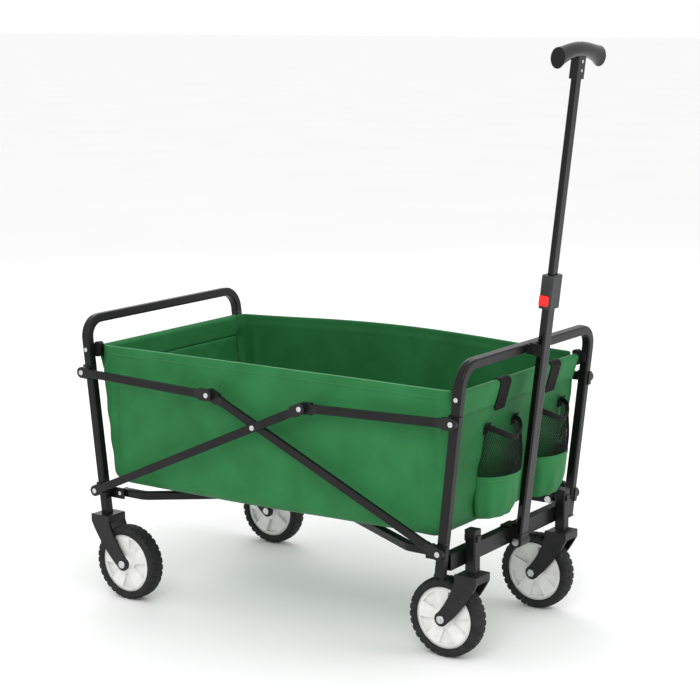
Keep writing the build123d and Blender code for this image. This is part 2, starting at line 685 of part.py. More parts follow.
def handle_bolt():
    reach = LOWER_TUBE[1] / 2 + 0.4 + 2.5
    shank = pin(HANDLE_PIVOT_X, HANDLE_PIVOT_Z, -reach, reach, PIN_R)
    for side in (-1, 1):
        low, high = sorted((side * reach, side * (reach + 3.5)))
        shank += pin(HANDLE_PIVOT_X, HANDLE_PIVOT_Z, low, high, 7.0)
    return shank


def clip():
    """The moulded clip on the front top bar that holds the handle upright."""
    lean = radians(SPLAY)
    axis_x = HANDLE_PIVOT_X + (BAR_Z - HANDLE_PIVOT_Z) * tan(LEAN)
    reach = (axis_x - post_x(BAR_Z)) * cos(lean)
    face, half = POST / 2, LOWER_TUBE[1] / 2 + FIT
    jaw, ear, height = 3.5, 8.0, 22.0
    flange = half + jaw + ear
    body = block((face, -flange, -POST / 2), (face + 3.2, flange, POST / 2))
    for side in (-1, 1):
        y_low = side * half - (jaw if side < 0 else 0)
        body += block((face, y_low, -height / 2), (reach + 3, y_low + jaw, height / 2))
    body -= Pos(reach, 0, 0) * Box(LOWER_TUBE[0] + 4 * FIT, 2 * half, 2 * height)
    return Location((post_x(BAR_Z), 0, BAR_Z), (0, SPLAY, 0)) * body


def cap_screw():
    """The low head of the screw that goes through a front post into its hem cap."""
    return pin(post_x(HEM_Z), HEM_Z, POST_FACE, POST_FACE + CAP_SCREW_HEAD, RIVET_HEAD_R - 1)


# ---- pieces of the two end frames ---------------------------------------------------
rear_crown_x = -post_x(REAR_CROWN_TOP - REAR_CROWN / 2)
rear_foot_z = REAR_CROWN_TOP - REAR_CROWN + 5
rear_tube = to_rear(end_frame_tube(rear_foot_z))
front_tube = end_frame_tube(FRONT_FOOT_Z)
lugs = both_sides(floor_lug())
save("rear_frame_tube", rear_tube + [to_rear(lug) for lug in lugs])
save("front_frame_tube", front_tube + lugs)

rear_saddles = [post_saddle(LOW_PIVOT, OUTER_LAYER), post_saddle(HIGH_PIVOT, OUTER_LAYER)]
front_saddles = [post_saddle(LOW_PIVOT, INNER_LAYER), post_saddle(HIGH_PIVOT, INNER_LAYER)]
save("rear_post_saddles", *both_sides(*[to_rear(saddle) for saddle in rear_saddles]))
save("front_post_saddles", *both_sides(*front_saddles))
stem_socket = Cylinder(STEM_R, 400)
right_left = ((-1, "right"), (1, "left"))
post_socket = Location((-post_x(0), 0, 0), (0, -SPLAY, 0)) * Box(POST, POST, 900)
post_socket = Pos(-rear_crown_x, 0, 0) * post_socket
post_socket -= block((-99, -99, 0), (99, 99, rear_foot_z - POST / 2 * SLOPE - 0.2))
for side, word in right_left:
    rear_fork = fork(
        rear_crown_x,
        side * HALF_TRACK,
        REAR_AXLE_X - rear_crown_x,
        REAR_CROWN_TOP,
        REAR_CROWN,
        post_socket,
    )
    save(word + "_rear_fork", rear_fork)
    save(word + "_rear_rim", rim(REAR_AXLE_X, side * HALF_TRACK))
    save(word + "_rear_tyre", tyre(REAR_AXLE_X, side * HALF_TRACK))
save("rear_axle_bolts", *both_sides(axle_bolt(REAR_AXLE_X, HALF_TRACK)))

rear_rivets = [link_rivet(LOW_PIVOT, POST_FACE + 0.01, LINK_OUTSIDE)]
rear_pins = [to_rear(piece) for piece in (*rear_rivets, arm_pin(), cap_screw())]
save("rear_frame_fasteners", *both_sides(*rear_pins))
front_rivets = [
    link_rivet(LOW_PIVOT, POST_FACE + 0.01, INNER_LAYER + LINK_THICK),
    link_rivet(HIGH_PIVOT, POST_FACE + 0.01, INNER_LAYER + LINK_THICK),
]
front_pins = (*front_rivets, arm_pin(), cap_screw())
save("front_frame_fasteners", *both_sides(*front_pins), handle_bolt())

save("rear_hem_rod", to_rear(hem_rod()))
save("front_hem_rod", hem_rod())
save("rear_hem_caps", *both_sides(to_rear(hem_cap())))
save("front_hem_caps", *both_sides(hem_cap()))
save("rear_panel", to_rear(end_panel()))
save("front_panel", end_panel())
save("left_side_panel", side_panel())
save("right_side_panel", mirror(side_panel(), about=Plane.XZ))

beam_half = HALF_TRACK - POST / 2 - LUG
beam_low = (BEAM_X - BEAM_DEPTH / 2, -beam_half, BEAM_Z - BEAM_HEIGHT / 2)
beam_high = (BEAM_X + BEAM_DEPTH / 2, beam_half, BEAM_Z + BEAM_HEIGHT / 2)
beam = block(beam_low, beam_high)
beam -= Pos(BEAM_X, 0, BEAM_Z) * Box(
    BEAM_DEPTH - 2 * BEAM_WALL, 2 * beam_half + 1, BEAM_HEIGHT - 2 * BEAM_WALL
)
save("front_cross_beam", beam)
save("caster_tubes", *both_sides(caster_tube()))
save("front_tube_plugs", *both_sides(caster_cap(), post_plug()))
save("hem_straps", *[hem_strap(y) for y in STRAP_Y])
save("cup_pockets", *[pocket(y) for y in POCKET_Y])
save("handle_yoke", yoke())
save("handle_clip", clip())

# ---- scissor ------------------------------------------------------------------------
FAR_LOW = (-LOW_PIVOT[0], LOW_PIVOT[1])
FAR_HIGH = (-HIGH_PIVOT[0], HIGH_PIVOT[1])
FRONT_ELBOW = (ELBOW_X, ELBOW_Z)
REAR_ELBOW = (-ELBOW_X, ELBOW_Z)
LINKS = {
    "rear_lower": (FAR_LOW, FRONT_ELBOW, OUTER_LAYER),
    "front_upper": (HIGH_PIVOT, FRONT_ELBOW, INNER_LAYER),
    "front_lower": (LOW_PIVOT, REAR_ELBOW, INNER_LAYER),
    "rear_upper": (FAR_HIGH, REAR_ELBOW, OUTER_LAYER),
}
crossing_rise = (ELBOW_Z - LOW_PIVOT_Z) * LOW_PIVOT[0] / (LOW_PIVOT[0] + ELBOW_X)
CROSSING = (0.0, LOW_PIVOT_Z + crossing_rise)
for name, (foot, elbow, layer) in LINKS.items():
    tube = link_tube(foot, elbow, layer)
    if name == "rear_lower":
        tube -= pin(*CROSSING, layer - 1, layer + LINK_THICK + 1, RIVET_R)
    save(name + "_links", *both_sides(tube))
    loose = RIVET_R + PIVOT_PLAY
    at_elbow = RIVET_R if layer == OUTER_LAYER else loose
    at_foot = RIVET_R if name == "rear_upper" else loose
    fittings = [
        link_fitting(foot, elbow, layer, at_foot),
        link_fitting(elbow, foot, layer, at_elbow),
    ]
    save(name + "_fittings", *both_sides(*fittings))
save(
    "rear_lower_rivets",
    *both_sides(
        link_rivet(FRONT_ELBOW, INNER_LAYER, LINK_OUTSIDE),
        link_rivet(CROSSING, OUTER_LAYER, LINK_OUTSIDE),
    ),
)
save(
    "rear_upper_rivets",
    *both_sides(
        link_rivet(REAR_ELBOW, INNER_LAYER, LINK_OUTSIDE),
        link_rivet(FAR_HIGH, OUTER_LAYER, LINK_OUTSIDE),
    ),
)

# ---- floor --------------------------------------------------------------------------
save("front_floor_arms", *both_sides(floor_arm(FRONT_ARM_INNER_Y)))
save("rear_floor_arms", *both_sides(to_rear(floor_arm(REAR_ARM_INNER_Y))))
save("floor_hub", floor_hub())
hub_reach = REAR_ARM_INNER_Y + ARM / 2
save("floor_hub_pin", pin(-HUB_PIVOT_X, ARM_Z, -hub_reach - 2, hub_reach + 2, PIN_R))
save("front_floor_cloth", floor_half())
save("rear_floor_cloth", to_rear(floor_half()))

# ---- casters ------------------------------------------------------------------------
caster_fork = fork(
    CASTER_X, CASTER_Y, -CASTER_TRAIL, CASTER_CROWN_TOP, CASTER_CROWN, stem_socket
)
caster_pins = [caster_stem(), axle_bolt(FRONT_AXLE_X, CASTER_Y)]
for side, word in right_left:
    # both_sides lists the left pieces first, then their mirror images
    forks, pins = both_sides(caster_fork), both_sides(*caster_pins)
    save(word + "_caster_fork", forks[0] if side > 0 else forks[1])
    save(word + "_caster_pins", *(pins[:2] if side > 0 else pins[2:]))
    save(word + "_front_rim", rim(FRONT_AXLE_X, side * CASTER_Y))
    save(word + "_front_tyre", tyre(FRONT_AXLE_X, side * CASTER_Y))

# ---- handle -------------------------------------------------------------------------
save("handle_base", along_handle(handle_base()))
save("handle_lower_tube", along_handle(lower_tube()))
save("handle_collar", along_handle(collar()))
save("release_button", along_handle(button()))
save("handle_upper_tube", along_handle(upper_tube()))
save("handle_grip", along_handle(grip()))
save("grip_rivets", *[along_handle(head) for head in grip_rivets()])
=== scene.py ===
# %% [markdown]
# # A folding camp wagon, dressed around its CAD frame
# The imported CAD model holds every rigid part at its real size. This lesson loads it, gives each
# part a finish that matches how the real one is made, and sews the cloth tub around it. All
# lengths are metres, +X runs to the pull handle, +Y to the wagon's left, +Z up from the ground.

import json
from math import cos, pi, radians, sin, tau

import bpy
import numpy as np
from mathutils import Matrix, Vector


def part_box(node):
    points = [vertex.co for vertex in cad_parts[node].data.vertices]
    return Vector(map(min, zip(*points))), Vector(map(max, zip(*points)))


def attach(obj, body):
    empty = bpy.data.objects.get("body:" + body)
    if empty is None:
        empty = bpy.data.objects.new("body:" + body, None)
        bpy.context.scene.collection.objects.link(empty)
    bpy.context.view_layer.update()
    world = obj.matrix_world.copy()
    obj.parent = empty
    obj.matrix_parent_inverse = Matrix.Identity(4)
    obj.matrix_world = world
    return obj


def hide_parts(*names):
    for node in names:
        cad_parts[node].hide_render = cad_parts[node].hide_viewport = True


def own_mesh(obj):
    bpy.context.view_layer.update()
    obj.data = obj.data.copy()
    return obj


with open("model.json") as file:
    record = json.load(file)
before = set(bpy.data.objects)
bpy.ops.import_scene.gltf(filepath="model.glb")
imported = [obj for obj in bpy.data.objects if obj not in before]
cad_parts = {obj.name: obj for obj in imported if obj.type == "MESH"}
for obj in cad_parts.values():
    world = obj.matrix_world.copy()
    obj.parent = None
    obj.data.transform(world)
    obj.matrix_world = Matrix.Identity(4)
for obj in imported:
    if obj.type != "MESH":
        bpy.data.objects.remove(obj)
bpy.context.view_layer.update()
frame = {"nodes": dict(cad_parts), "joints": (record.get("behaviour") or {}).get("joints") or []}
MM = 0.001

# %% [markdown]
# ## Where things are
# The two end frames lean outwards. Their lean and place are read from the scissor's pivots,
# which sit on the posts, so the cloth follows the frame if a size changes.

# %% The frame's own lines
joint_at = {j["name"]: j.get("pos_m") for j in frame["joints"]}
low_x, _, low_z = joint_at["front_low_pivot"]
high_x, _, high_z = joint_at["front_top_pivot"]
fold_x = (joint_at["fold"][0] + low_x) / 2
slope = (high_x - low_x) / (high_z - low_z)
_, panel_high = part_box("front_panel")
side_low, side_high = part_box("left_side_panel")
rod_low, rod_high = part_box("front_hem_rod")
_, floor_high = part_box("front_floor_cloth")
rod_x, rod_z = (rod_low.x + rod_high.x) / 2, (rod_low.z + rod_high.z) / 2
side_y = (side_low.y + side_high.y) / 2
print("posts lean", round(slope, 4), "fold plane at", round(fold_x, 4), "hem rod at", rod_z)


def cloth_x(z):
    """How far the end cloth stands from the fold plane at height z: parallel to the posts,
    through the hem rod."""
    return rod_x - fold_x + slope * (z - rod_z)


# %% [markdown]
# ## Helpers for meshes
# Every new piece is a surface worked out on a grid with numpy, then put into a mesh in one go.
# A cloth is a closed shell: the same grid twice, one moved along the normals by the thickness,
# with its rim closed. That gives it a real edge, and two faces that can have two finishes.


# %% Grids into meshes
def grid_faces(rows, columns, wrap_rows=False, wrap_columns=False):
    """Quads of a grid of points stored row by row, as an array of four indices each."""
    i = np.arange(rows if wrap_rows else rows - 1)
    j = np.arange(columns if wrap_columns else columns - 1)
    i, j = np.meshgrid(i, j, indexing="ij")
    down, right = (i + 1) % rows, (j + 1) % columns
    return np.stack(
        [i * columns + j, down * columns + j, down * columns + right, i * columns + right], -1
    ).reshape(-1, 4)


def new_piece(name, points, faces, materials, uv=None, face_material=None, smooth=True):
    """A mesh object from arrays of points and faces. uv is one pair of metres for each point."""
    mesh = bpy.data.meshes.new(name)
    faces = faces.tolist() if isinstance(faces, np.ndarray) else faces
    mesh.from_pydata(np.asarray(points, float).tolist(), [], faces)
    if uv is not None:
        layer = mesh.uv_layers.new(name="cloth_metres")
        corners = np.zeros(len(mesh.loops), np.int32)
        mesh.loops.foreach_get("vertex_index", corners)
        layer.data.foreach_set("uv", np.asarray(uv, np.float32)[corners].ravel())
    for material in materials:
        mesh.materials.append(material)
    if face_material is not None:
        mesh.polygons.foreach_set("material_index", np.asarray(face_material, np.int32))
    mesh.polygons.foreach_set("use_smooth", np.full(len(mesh.polygons), smooth))
    mesh.update()
    piece = bpy.data.objects.new(name, mesh)
    bpy.context.scene.collection.objects.link(piece)
    return piece


def grid_normals(points):
    """Unit normals of a grid of points: the cross product of its two directions of travel."""
    along = np.gradient(points, axis=0)
    across = np.gradient(points, axis=1)
    normal = np.cross(along, across)
    return normal / np.maximum(np.linalg.norm(normal, axis=-1, keepdims=True), 1e-12)


def grid_metres(points):
    """Distance travelled along each direction of a grid, as a UV map in metres."""
    steps = np.linalg.norm(np.diff(points, axis=0), axis=-1)
    u = np.concatenate([np.zeros((1, points.shape[1])), np.cumsum(steps, axis=0)])
    steps = np.linalg.norm(np.diff(points, axis=1), axis=-1)
    v = np.concatenate([np.zeros((points.shape[0], 1)), np.cumsum(steps, axis=1)], axis=1)
    return np.stack([u, v], -1)


def cloth_shell(name, points, thickness, materials):
    """A closed shell about a grid: the grid moved half the thickness each way along its
    normals, with the rim closed by quads. The normals' side takes the first material and the
    other side the last."""
    rows, columns, _ = points.shape
    normal = grid_normals(points)
    outer = (points + normal * thickness / 2).reshape(-1, 3)
    inner = (points - normal * thickness / 2).reshape(-1, 3)
    count = rows * columns
    front = grid_faces(rows, columns)
    back = front[:, ::-1] + count
    index = np.arange(count).reshape(rows, columns)
    loop = np.concatenate([index[:-1, 0], index[-1, :-1], index[:0:-1, -1], index[0, :0:-1]])
    after = np.roll(loop, -1)
    rim = np.stack([loop, loop + count, after + count, after], -1)
    faces = np.concatenate([front, back, rim])
    inside = len(materials) - 1
    chosen = np.concatenate([np.zeros(len(front)), np.full(len(back), inside), np.zeros(len(rim))])
    uv = grid_metres(points).reshape(-1, 2)
    return new_piece(
        name, np.concatenate([outer, inner]), faces, materials, np.concatenate([uv, uv]), chosen
    )


def tube_along(name, path, radius, materials, sides=8, flat=1.0):
    """A round or flattened tube along a path of points, closed at both ends. Each ring lies
    across the path's direction there."""
    path = np.asarray(path, float)
    ahead = np.gradient(path, axis=0)
    ahead /= np.linalg.norm(ahead, axis=1, keepdims=True)
    lean = np.where(np.abs(ahead[:, 2:3]) > 0.9, [[1.0, 0, 0]], [[0, 0, 1.0]])
    left = np.cross(lean, ahead)
    left /= np.linalg.norm(left, axis=1, keepdims=True)
    up = np.cross(ahead, left)
    turn = np.linspace(0, tau, sides, endpoint=False)
    ring = left[:, None] * np.cos(turn)[:, None] * flat + up[:, None] * np.sin(turn)[:, None]
    points = (path[:, None] + radius * ring).reshape(-1, 3)
    faces = grid_faces(len(path), sides, wrap_columns=True)[:, ::-1].tolist()
    faces.append(list(range(sides)))
    faces.append(list(range(len(points) - 1, len(points) - 1 - sides, -1)))
    return new_piece(name, points, faces, materials)


def smooth_step(x, low, high):
    """0 below low, 1 above high, and an S-curve between."""
    t = np.clip((x - low) / (high - low), 0, 1)
    return t * t * (3 - 2 * t)


def bump(x, middle, width):
    """A smooth bell of height 1 about middle."""
    return np.exp(-(((x - middle) / width) ** 2))


print("mesh helpers ready")

# %% [markdown]
# ## Helpers for materials
# A real surface is a colour, a roughness and a fine relief. One function adds a node with its
# settings and links, and one turns the hex colours of a paint card into the linear values that
# Cycles works in.


# %% Colours and nodes
def linear(hex_colour):
    """An sRGB hex colour as linear RGBA, by the standard's own formula."""
    channels = [int(hex_colour[i : i + 2], 16) / 255 for i in (1, 3, 5)]
    return [c / 12.92 if c <= 0.04045 else ((c + 0.055) / 1.055) ** 2.4 for c in channels] + [1]


def add(tree, kind, inputs=None, **settings):
    """One node: settings are its own properties, and inputs are values or sockets to link."""
    node = tree.nodes.new(kind)
    for key, value in settings.items():
        setattr(node, key, value)
    for key, value in (inputs or {}).items():
        if isinstance(value, bpy.types.NodeSocket):
            tree.links.new(value, node.inputs[key])
        else:
            node.inputs[key].default_value = value
    return node


def surface(name, **sockets):
    """A new material with its Principled shader's sockets set. Returns the material, its tree
    and its shader."""
    material = bpy.data.materials.new(name)
    material.use_nodes = True
    tree = material.node_tree
    shader = tree.nodes["Principled BSDF"]
    for key, value in sockets.items():
        shader.inputs[key.replace("_", " ")].default_value = value
    return material, tree, shader


def grain(tree, shader, size, depth, source="Object", detail=2.0):
    """A random relief whose grains are about size metres apart and depth metres deep."""
    place = add(tree, "ShaderNodeTexCoord")
    noise = add(
        tree,
        "ShaderNodeTexNoise",
        {"Vector": place.outputs[source], "Scale": 1 / size, "Detail": detail},
    )
    relief = add(
        tree, "ShaderNodeBump", {"Height": noise.outputs["Fac"], "Distance": depth, "Strength": 1.0}
    )
    tree.links.new(relief.outputs["Normal"], shader.inputs["Normal"])
    return noise


def two_tone(tree, shader, dark, light, size, source="Object", low=0.35, high=0.65):
    """Base colour that drifts between two hex colours over patches of about size metres."""
    place = add(tree, "ShaderNodeTexCoord")
    noise = add(
        tree,
        "ShaderNodeTexNoise",
        {"Vector": place.outputs[source], "Scale": 1 / size, "Detail": 4.0},
    )
    ramp = add(tree, "ShaderNodeValToRGB", {"Fac": noise.outputs["Fac"]})
    ramp.color_ramp.elements[0].position = low
    ramp.color_ramp.elements[0].color = linear(dark)
    ramp.color_ramp.elements[1].position = high
    ramp.color_ramp.elements[1].color = linear(light)
    tree.links.new(ramp.outputs["Color"], shader.inputs["Base Color"])
    return ramp


# %% [markdown]
# ## Metals
# The frame is steel tube under a black powder coat. Powder melts into a skin with a slight
# orange peel, about a millimetre across, and a satin sheen. The pull handle is painted glossier,
# so its highlights are narrow. Bolts and rivets are zinc plated and bright.


# %% Powder coat, gloss paint, zinc plate
def powder_coat():
    """Satin black powder coat: dielectric, soft highlight, shallow orange peel."""
    material, tree, shader = surface("powder_coated_steel", Roughness=0.33, Specular_IOR_Level=0.24)
    two_tone(tree, shader, "#0B0B0C", "#121213", 0.06)
    grain(tree, shader, 1.1 * MM, 0.05 * MM)
    return material


def gloss_paint():
    """Stoved gloss black: smooth, with a clear coat that gives narrow highlights."""
    material, tree, shader = surface(
        "gloss_painted_tube",
        Roughness=0.18,
        Specular_IOR_Level=0.18,
        Coat_Weight=0.2,
        Coat_Roughness=0.05,
    )
    two_tone(tree, shader, "#060607", "#0A0A0B", 0.09)
    grain(tree, shader, 3 * MM, 0.02 * MM)
    return material


def zinc_plate():
    """Bright zinc on turned steel: a metal, lightly brushed round by the tool."""
    material, tree, shader = surface("zinc_plated_steel", Metallic=1.0, Roughness=0.28)
    two_tone(tree, shader, "#B9BABC", "#D8D9DA", 0.004)
    grain(tree, shader, 0.6 * MM, 0.02 * MM)
    return material


POWDER = powder_coat()
GLOSS = gloss_paint()
ZINC = zinc_plate()
print("metals:", POWDER.name, GLOSS.name, ZINC.name)

# %% [markdown]
# ## Plastics and tyres
# The saddles, link ends, forks and caps are moulded in black nylon and polypropylene, from
# tools with a spark-eroded texture. The rims are off-white polypropylene, the tyres a hard
# foamed compound that is matt and a little grey with dust. The button and grip are smoother.


# %% Moulded finishes
def moulded(name, dark, light, roughness, texture, depth, gleam=0.5):
    """A moulded plastic with the tool's fine texture. texture and depth are in metres, and
    gleam is the shader's specular level."""
    material, tree, shader = surface(name, Roughness=roughness, Specular_IOR_Level=gleam)
    two_tone(tree, shader, dark, light, 0.02)
    grain(tree, shader, texture, depth)
    return material


NYLON = moulded("moulded_black_nylon", "#111111", "#181818", 0.42, 0.7 * MM, 0.04 * MM, 0.28)
FORK = moulded("moulded_fork_nylon", "#121213", "#1A1A1A", 0.38, 0.8 * MM, 0.04 * MM, 0.3)
RIM = moulded("moulded_white_polypropylene", "#D9D9D8", "#E6E6E4", 0.4, 1.0 * MM, 0.03 * MM)
TYRE = moulded("foamed_tyre_compound", "#181819", "#242425", 0.72, 1.3 * MM, 0.12 * MM, 0.3)
COLLAR = moulded("moulded_charcoal_nylon", "#232425", "#2C2D2E", 0.4, 0.8 * MM, 0.04 * MM, 0.35)
RED = moulded("moulded_red_abs", "#E00A0B", "#F01412", 0.3, 1.2 * MM, 0.015 * MM)
GRIP = moulded("moulded_grip_nylon", "#070708", "#0C0C0D", 0.24, 2.0 * MM, 0.03 * MM, 0.3)
print("plastics ready")

# %% [markdown]
# ## Cloth
# The tub is 600-denier polyester, plain woven and coated on the inside. The coating fills the
# weave, so the inside is smoother and darker. Real threads are about 0.5 mm apart, too fine to
# show at this distance, so they are drawn 1.1 mm apart. The pattern follows a UV map in metres,
# so that it turns with the cloth.

# %% Woven polyester, its coated side, webbing and thread
THREAD_STEP = 1.1 * MM
WAVE_PERIOD = 0.1 * pi  # the Wave texture repeats this far apart at scale 1


def woven(name, dark, light, roughness, step, depth, sheen):
    """A plain weave: raised bands along and across, shown in turn by a checker whose squares
    are one thread wide."""
    material, tree, shader = surface(
        name,
        Roughness=roughness,
        Specular_IOR_Level=0.15,
        Sheen_Weight=sheen,
        Sheen_Roughness=0.45,
    )
    place = add(tree, "ShaderNodeTexCoord")
    bands = {}
    for direction in ("X", "Y"):
        bands[direction] = add(
            tree,
            "ShaderNodeTexWave",
            {"Vector": place.outputs["UV"], "Scale": WAVE_PERIOD / step, "Distortion": 0.0},
            bands_direction=direction,
        )
    checker = add(
        tree, "ShaderNodeTexChecker", {"Vector": place.outputs["UV"], "Scale": 1 / step}
    )
    weave = add(
        tree,
        "ShaderNodeMix",
        {
            "Factor": checker.outputs["Fac"],
            "A": bands["X"].outputs["Fac"],
            "B": bands["Y"].outputs["Fac"],
        },
    )
    two_tone(tree, shader, dark, light, 0.07)
    relief = add(
        tree, "ShaderNodeBump", {"Height": weave.outputs["Result"], "Distance": depth}
    )
    tree.links.new(relief.outputs["Normal"], shader.inputs["Normal"])
    return material


CLOTH = woven("woven_green_polyester", "#246A38", "#2B7542", 0.6, THREAD_STEP, 0.05 * MM, 0.03)
LINING = woven("coated_green_polyester", "#1F5F31", "#246838", 0.5, THREAD_STEP, 0.02 * MM, 0.02)
WEBBING = woven("woven_black_webbing", "#0C0C0C", "#141414", 0.7, 1.6 * MM, 0.15 * MM, 0.02)
# Light green sewing thread. The same material also colours the pale tube along each side cloth's top
# edge, which is a painted highlight.
THREAD_AND_EDGE_HIGHLIGHT = moulded("sewing_thread_and_edge_highlight", "#4C8A5D", "#5A986B", 0.6, 0.5 * MM, 0.05 * MM)
print("cloth materials ready")

# %% [markdown]
# ## Dressing the CAD parts
# The rigid parts stay as the CAD gives them. Each node takes the material of its real
# counterpart, by writing to its object's material slots, so its mesh is left alone.

# %% One finish for each node
FINISHES = {
    POWDER: """rear_frame_tube front_frame_tube front_cross_beam caster_tubes rear_lower_links
        front_upper_links front_lower_links rear_upper_links rear_floor_arms front_floor_arms
        handle_yoke rear_hem_rod front_hem_rod floor_hub_pin""",
    NYLON: """rear_post_saddles front_post_saddles rear_hem_caps front_hem_caps front_tube_plugs
        floor_hub handle_clip rear_lower_fittings front_upper_fittings front_lower_fittings
        rear_upper_fittings handle_base""",
    FORK: "right_rear_fork left_rear_fork right_caster_fork left_caster_fork",
    ZINC: """rear_axle_bolts right_caster_pins left_caster_pins grip_rivets rear_frame_fasteners
        front_frame_fasteners rear_lower_rivets rear_upper_rivets""",
    RIM: "right_rear_rim left_rear_rim right_front_rim left_front_rim",
    TYRE: "right_rear_tyre left_rear_tyre right_front_tyre left_front_tyre",
    GLOSS: "handle_lower_tube handle_upper_tube",
    COLLAR: "handle_collar",
    RED: "release_button",
    GRIP: "handle_grip",
    CLOTH: """left_side_panel right_side_panel rear_panel front_panel rear_floor_cloth
        front_floor_cloth cup_pockets""",
    WEBBING: "hem_straps",
}
for finish, names in FINISHES.items():
    for node_name in names.split():
        for index in range(len(frame["nodes"][node_name].data.materials)):
            part_slot = frame["nodes"][node_name].material_slots[index]
            part_slot.link = "OBJECT"
            part_slot.material = finish
print("dressed", sum(len(names.split()) for names in FINISHES.values()), "nodes")

# %% [markdown]
# ## The camera, the floor and the light
# A long lens stands to the wagon's front right, a little above its top bars. The floor is a
# plain pale sheet, and three large soft lights stand in for a studio's.

# %% Camera
CAMERA_AT = Vector((1.9867, -2.8643, 1.1609))
YAW, PITCH, ROLL = radians(34.229), radians(-11.045), radians(-0.172)
forward = Vector((-sin(YAW) * cos(PITCH), cos(YAW) * cos(PITCH), sin(PITCH)))
lens = bpy.data.cameras.new("camera")
lens.lens, lens.sensor_width = 93.9, 36.0
lens.shift_x, lens.shift_y = -0.0299, 0.0193
lens.clip_end = 100
camera = bpy.data.objects.new("camera", lens)
bpy.context.scene.collection.objects.link(camera)
aim = forward.to_track_quat("-Z", "Y").to_matrix().to_4x4()
camera.matrix_world = Matrix.Translation(CAMERA_AT) @ aim @ Matrix.Rotation(ROLL, 4, "Z")
bpy.context.scene.camera = camera
print("camera at", tuple(CAMERA_AT))

# %% Floor and light
floor_material, floor_tree, floor_shader = surface("matt_paper_floor", Roughness=0.9)
two_tone(floor_tree, floor_shader, "#F8F8F8", "#FAFAFA", 0.8)
HALF_FLOOR = 60.0
ground = new_piece(
    "floor",
    [(-HALF_FLOOR, -HALF_FLOOR, 0), (HALF_FLOOR, -HALF_FLOOR, 0),
     (HALF_FLOOR, HALF_FLOOR, 0), (-HALF_FLOOR, HALF_FLOOR, 0)],
    [(0, 1, 2, 3)],
    [floor_material],
)
world = bpy.data.worlds.new("studio")
world.use_nodes = True
world.node_tree.nodes["Background"].inputs["Color"].default_value = (1, 1, 1, 1)
world.node_tree.nodes["Background"].inputs["Strength"].default_value = 1.0
bpy.context.scene.world = world
bpy.context.scene.view_settings.view_transform = "Standard"


def soft_light(name, place, size, power):
    """A square area light that faces the middle of the wagon."""
    data = bpy.data.lights.new(name, "AREA")
    data.energy, data.size = power, size
    light = bpy.data.objects.new(name, data)
    bpy.context.scene.collection.objects.link(light)
    towards = Vector((0, 0, 0.4)) - Vector(place)
    light.matrix_world = (
        Matrix.Translation(place) @ towards.to_track_quat("-Z", "Y").to_matrix().to_4x4()
    )


soft_light("key", (1.5, -3.2, 3.0), 2.2, 60)
soft_light("fill", (3.4, 1.2, 2.0), 2.0, 22)
soft_light("back", (-2.6, 2.4, 2.8), 2.4, 30)
print("floor and lights placed")

# %% [markdown]
# ## The side cloths
# Each long side is one panel of cloth between the end frames. It hangs a little slack: it
# bellies out, tucks in near its ends, turns in under itself to meet the floor, and turns round
# the corners to meet the end cloths. Its top edge is folded and sewn. It could be simulated,
# but a panel held on all four sides moves so little that its few soft folds are quicker and
# surer written as a formula. It hangs from the rear frame and moves with it as one piece.

# %% Side cloth
CLOTH_THICK = 1.2 * MM
SIDE_ROWS, SIDE_COLUMNS = 220, 64
CORNER_R = 14 * MM
TURN_IN, TURN_UP = 32 * MM, 26 * MM
TURN_SHARE = 0.18
FLOOR_Z = floor_high.z
SIDE_TOP = side_high.z
HEM_HEIGHT = 17 * MM
SEAM_Z = 0.457
DRAWN_IN, DRAW_LOW, DRAW_HIGH = 9 * MM, 0.452, 0.480  # the cloth draws in behind the rod here
END_REACH = 0.4  # from the fold plane to the end cloth's foot, near enough for its height


def foot_z(x):
    """Height of the seam round the tub's foot: it rises a little towards the handle end."""
    return FLOOR_Z + 5 * MM + 7 * MM * smooth_step(x, -0.15, 0.35)


def outline_x(z):
    """How far the tub reaches from the fold plane at height z. It follows the posts, draws in
    behind the hem's rod at the top, and has a slightly scalloped edge where it hangs free."""
    share = (z - FLOOR_Z) / (SIDE_TOP - FLOOR_Z)
    free = 2.5 * MM * np.sin(pi * np.clip(share, 0, 1))
    scallop = 1.3 * MM * np.sin(z / (9.5 * MM)) * np.sin(pi * np.clip(share * 1.2, 0, 1))
    drawn = DRAWN_IN * smooth_step(z, DRAW_LOW, DRAW_HIGH)
    return cloth_x(z) - 1 * MM - drawn + free + scallop


def soft_folds(along, up, seed, count=9):
    """A sum of a few slow slanting waves with seeded phases, between about -1 and 1."""
    chance = np.random.default_rng(seed)
    total = 0.0
    for _ in range(count):
        a, b = chance.uniform(3, 26), chance.uniform(2, 14)
        total = total + np.sin(a * along + b * up + chance.uniform(0, tau)) / count**0.5
    return total / 1.5


def crease(along, up, at, lean, width, low, high):
    """One soft fold: a bell across a slanting line, which fades in above low and out at high."""
    fade = smooth_step(up, low, low + 0.05) * (1 - smooth_step(up, high - 0.06, high))
    return bump(along, at + lean * (up - low), width) * fade


